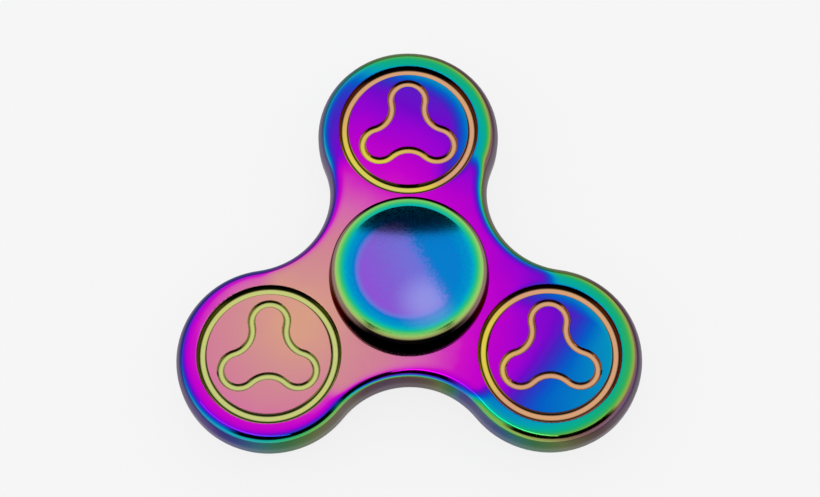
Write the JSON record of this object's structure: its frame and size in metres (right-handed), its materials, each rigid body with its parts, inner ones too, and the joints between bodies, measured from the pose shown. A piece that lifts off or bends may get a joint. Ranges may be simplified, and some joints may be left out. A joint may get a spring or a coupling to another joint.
{
  "type": "fidget spinner",
  "caption": "Flat tri-lobed metal fidget spinner that turns on a central ball bearing between two dished finger pads, with grooved round weights in its lobes.",
  "frame": {"origin": "centre of the ball bearing, on the spin axis, half way through the thickness", "axes": "+Z along the spin axis, out of the upper finger pad; +Y towards one lobe; +X to the right, along the longest side"},
  "size_m": [0.0746, 0.0687, 0.0156],
  "materials": {
    "coated_casting": "polished",
    "coated_weight": "polished",
    "coated_pad": "polished",
    "bearing_steel": "polished",
    "ball_steel": "polished",
    "cage_steel": "satin",
    "shield_steel": "satin",
    "spring_steel": "satin"
  },
  "bodies": {
    "pads": {"finger_pad_upper": "coated_pad", "finger_pad_lower": "coated_pad", "bearing_inner_race": "bearing_steel"},
    "spinner": {"spinner_frame": "coated_casting", "lobe_weight_rear": "coated_weight", "lobe_weight_left": "coated_weight", "lobe_weight_right": "coated_weight", "bearing_outer_race": "bearing_steel", "shield_upper": "shield_steel", "shield_lower": "shield_steel", "snap_ring_upper": "spring_steel", "snap_ring_lower": "spring_steel"},
    "cage": {"cage_half_upper": "cage_steel", "cage_half_lower": "cage_steel", "cage_rivets": "cage_steel"},
    "ball_1": {"bearing_ball_1": "ball_steel"},
    "ball_2": {"bearing_ball_2": "ball_steel"},
    "ball_3": {"bearing_ball_3": "ball_steel"},
    "ball_4": {"bearing_ball_4": "ball_steel"},
    "ball_5": {"bearing_ball_5": "ball_steel"},
    "ball_6": {"bearing_ball_6": "ball_steel"},
    "ball_7": {"bearing_ball_7": "ball_steel"}
  },
  "joints": [
    {"name": "spin", "type": "hinge", "parent": "pads", "child": "spinner", "pos_m": [0, 0, 0], "axis": [0, 0, 1], "continuous": true},
    {"name": "cage_spin", "type": "hinge", "parent": "pads", "child": "cage", "pos_m": [0, 0, 0], "axis": [0, 0, 1], "continuous": true},
    {"name": "ball_1_spin", "type": "hinge", "parent": "cage", "child": "ball_1", "pos_m": [0.0075, 0, 0], "axis": [0, 0, 1], "continuous": true},
    {"name": "ball_2_spin", "type": "hinge", "parent": "cage", "child": "ball_2", "pos_m": [0.00468, 0.00586, 0], "axis": [0, 0, 1], "continuous": true},
    {"name": "ball_3_spin", "type": "hinge", "parent": "cage", "child": "ball_3", "pos_m": [-0.00167, 0.00731, 0], "axis": [0, 0, 1], "continuous": true},
    {"name": "ball_4_spin", "type": "hinge", "parent": "cage", "child": "ball_4", "pos_m": [-0.00676, 0.00325, 0], "axis": [0, 0, 1], "continuous": true},
    {"name": "ball_5_spin", "type": "hinge", "parent": "cage", "child": "ball_5", "pos_m": [-0.00676, -0.00325, 0], "axis": [0, 0, 1], "continuous": true},
    {"name": "ball_6_spin", "type": "hinge", "parent": "cage", "child": "ball_6", "pos_m": [-0.00167, -0.00731, 0], "axis": [0, 0, 1], "continuous": true},
    {"name": "ball_7_spin", "type": "hinge", "parent": "cage", "child": "ball_7", "pos_m": [0.00468, -0.00586, 0], "axis": [0, 0, 1], "continuous": true}
  ],
  "couplings": [
    {"joint": "cage_spin", "follows": "spin", "ratio": 0.6323},
    {"joint": "ball_1_spin", "follows": "spin", "ratio": 1.7573},
    {"joint": "ball_2_spin", "follows": "spin", "ratio": 1.7573},
    {"joint": "ball_3_spin", "follows": "spin", "ratio": 1.7573},
    {"joint": "ball_4_spin", "follows": "spin", "ratio": 1.7573},
    {"joint": "ball_5_spin", "follows": "spin", "ratio": 1.7573},
    {"joint": "ball_6_spin", "follows": "spin", "ratio": 1.7573},
    {"joint": "ball_7_spin", "follows": "spin", "ratio": 1.7573}
  ]
}
